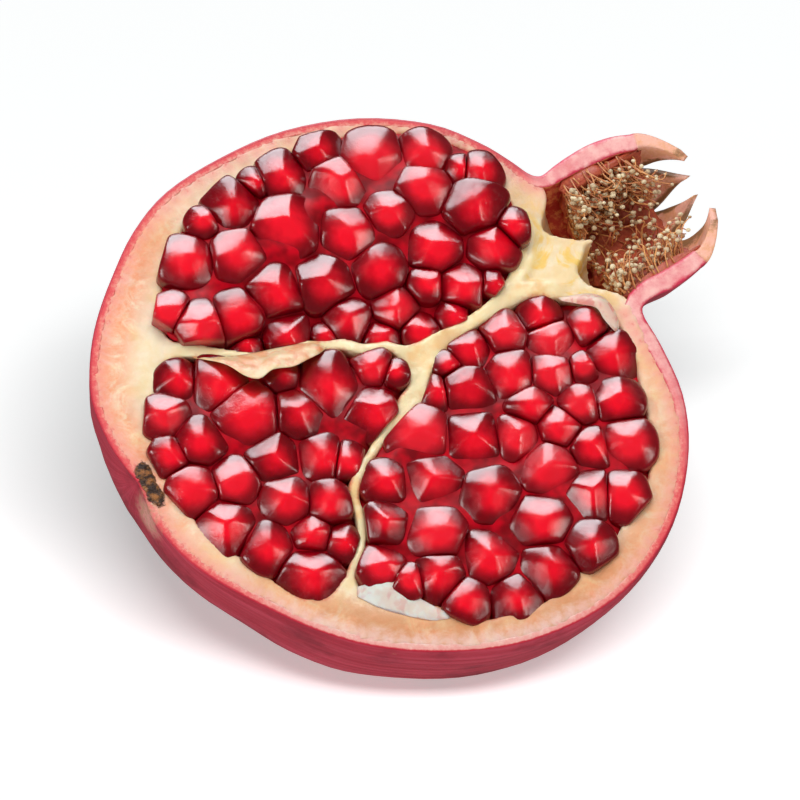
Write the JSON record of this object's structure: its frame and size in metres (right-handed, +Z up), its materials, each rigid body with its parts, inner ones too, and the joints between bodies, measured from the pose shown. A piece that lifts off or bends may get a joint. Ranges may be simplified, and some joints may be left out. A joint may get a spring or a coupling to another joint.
{
  "type": "pomegranate half",
  "caption": "Half a fresh pomegranate cut lengthwise, with red rind, pale pith, chambers of ruby seeds and a dried crown with stamens",
  "frame": {"origin": "middle of the small flat spot of rind that the half fruit rests on", "axes": "+Z up; the cut face looks toward -Y and upward, and the crown points to +X, up along the cut face"},
  "size_m": [0.099, 0.0799, 0.0731],
  "materials": {
    "rind": "satin, leathery, with fine streaks",
    "pith": "matte to waxy, spongy",
    "seeds": "glossy, wet, translucent red",
    "stamens": "dry, matte, fibrous"
  },
  "bodies": {
    "root": {"skin": "rind", "pith": "pith", "arils_upper": "seeds", "arils_lower_left": "seeds", "arils_lower_right": "seeds", "stamens": "stamens"}
  },
  "joints": []
}
